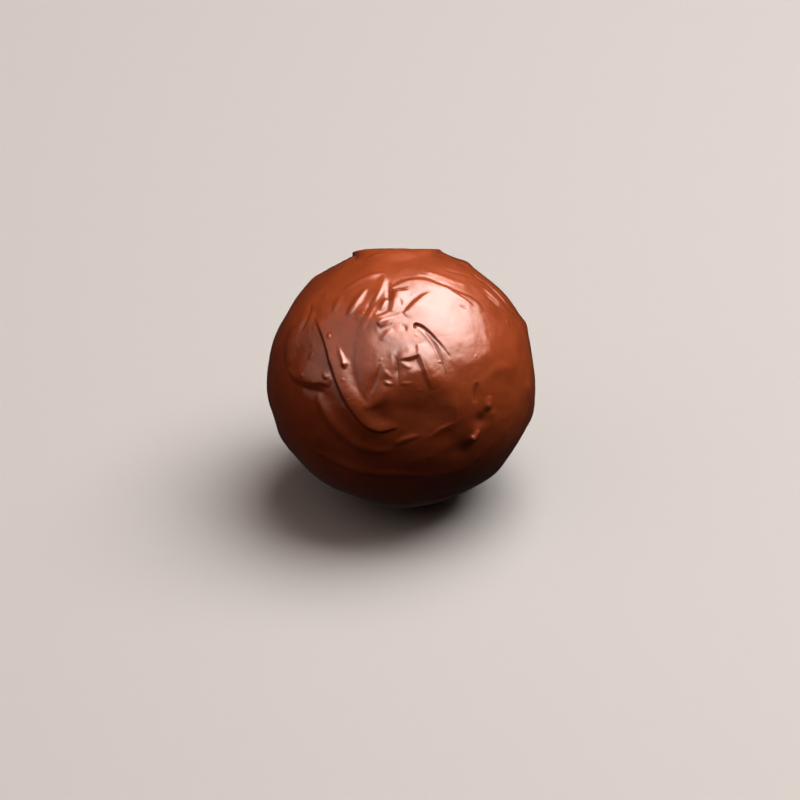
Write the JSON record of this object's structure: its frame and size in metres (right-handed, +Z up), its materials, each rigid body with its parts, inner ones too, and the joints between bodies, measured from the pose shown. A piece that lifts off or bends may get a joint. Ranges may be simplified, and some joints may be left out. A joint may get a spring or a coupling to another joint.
{
  "type": "chocolate praline",
  "caption": "Round hand-rolled praline ball with folds and wrinkles in its milk-chocolate coat, a small setting foot at the back and a small flat spot to rest on.",
  "frame": {"origin": "middle of the small flat spot that the ball rests on", "axes": "+Z up, away from the resting spot; the shown side of the ball faces -Y and +X is to its right"},
  "size_m": [0.028, 0.0279, 0.0267],
  "materials": {
    "milk_chocolate": "milk chocolate, hand-rolled, satin gloss with softer and glossier patches"
  },
  "bodies": {
    "root": {"praline": "milk_chocolate"}
  },
  "joints": []
}
